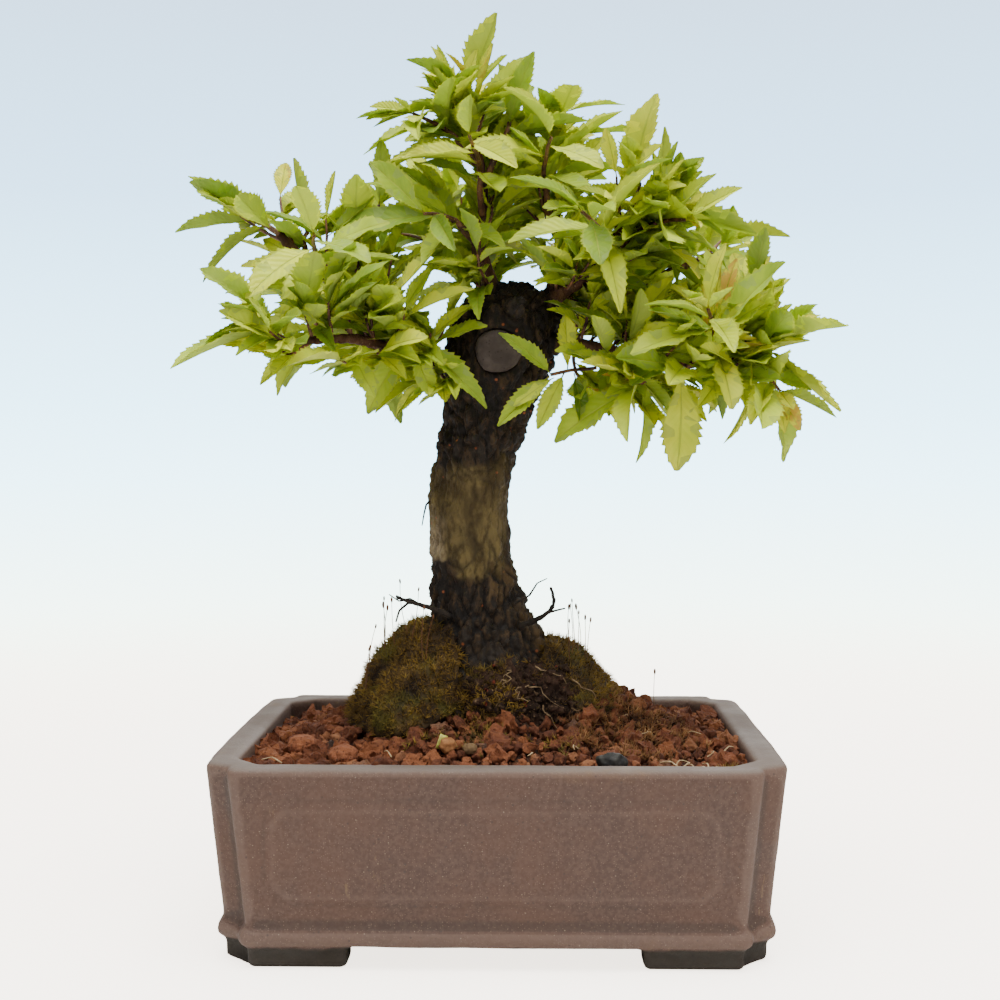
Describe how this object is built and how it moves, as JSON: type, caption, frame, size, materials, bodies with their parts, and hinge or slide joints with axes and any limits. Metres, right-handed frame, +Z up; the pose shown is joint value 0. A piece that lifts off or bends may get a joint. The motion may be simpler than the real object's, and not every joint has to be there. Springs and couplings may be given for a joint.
{
  "type": "bonsai tree in a pot",
  "caption": "Small bonsai tree with a stout trunk and a dense leafy crown, growing from mossy soil in a rectangular unglazed clay pot on corner feet.",
  "frame": {"origin": "centre of the whole object's outline in plan, on the surface that the pot's feet stand on", "axes": "+Z up, X along the pot's long side, +Y towards the back of the tree"},
  "size_m": [0.2028, 0.1376, 0.2792],
  "materials": {
    "clay": "matte",
    "screen_plastic": "matte",
    "clip_wire": "satin",
    "soil": "matte",
    "moss": "matte",
    "moss_dry": "matte",
    "pale_stone": "matte",
    "charcoal": "matte",
    "lava_stone": "matte",
    "bark": "matte",
    "branch_bark": "matte",
    "dead_wood": "matte",
    "wound_putty": "matte",
    "leaf": "satin"
  },
  "bodies": {
    "root": {"back_branch": "branch_bark", "charcoal_lump": "charcoal", "dead_twig_left": "dead_wood", "dead_twig_right": "dead_wood", "drain_screen_left": "screen_plastic", "drain_screen_right": "screen_plastic", "lava_grain_1": "lava_stone", "lava_grain_2": "lava_stone", "leader": "branch_bark", "left_back_branch": "branch_bark", "left_branch": "branch_bark", "left_low_branch": "branch_bark", "moss_dry_patch": "moss_dry", "moss_mound_left": "moss", "moss_mound_right": "moss", "pebble_pale_1": "pale_stone", "pebble_pale_2": "pale_stone", "pot": "clay", "right_back_branch": "branch_bark", "right_low_branch": "branch_bark", "right_up_branch": "branch_bark", "screen_clip_left": "clip_wire", "screen_clip_right": "clip_wire", "shoot_back_1": "leaf", "shoot_back_2": "leaf", "shoot_leader_1": "leaf", "shoot_leader_2": "leaf", "shoot_leader_3": "leaf", "shoot_leader_4": "leaf", "shoot_leader_5": "leaf", "shoot_left_1": "leaf", "shoot_left_2": "leaf", "shoot_left_3": "leaf", "shoot_left_4": "leaf", "shoot_left_back_1": "leaf", "shoot_left_back_2": "leaf", "shoot_left_low_1": "leaf", "shoot_left_low_2": "leaf", "shoot_right_back_1": "leaf", "shoot_right_back_2": "leaf", "shoot_right_back_3": "leaf", "shoot_right_back_4": "leaf", "shoot_right_low_1": "leaf", "shoot_right_low_2": "leaf", "shoot_right_low_3": "leaf", "shoot_right_low_4": "leaf", "shoot_right_low_5": "leaf", "shoot_right_low_6": "leaf", "shoot_right_up_1": "leaf", "shoot_right_up_2": "leaf", "shoot_right_up_3": "leaf", "shoot_right_up_4": "leaf", "shoot_top_right_1": "leaf", "shoot_top_right_2": "leaf", "shoot_top_right_3": "leaf", "soil_bed": "soil", "top_right_branch": "branch_bark", "trunk": "bark", "wound_seal": "wound_putty"}
  },
  "joints": []
}
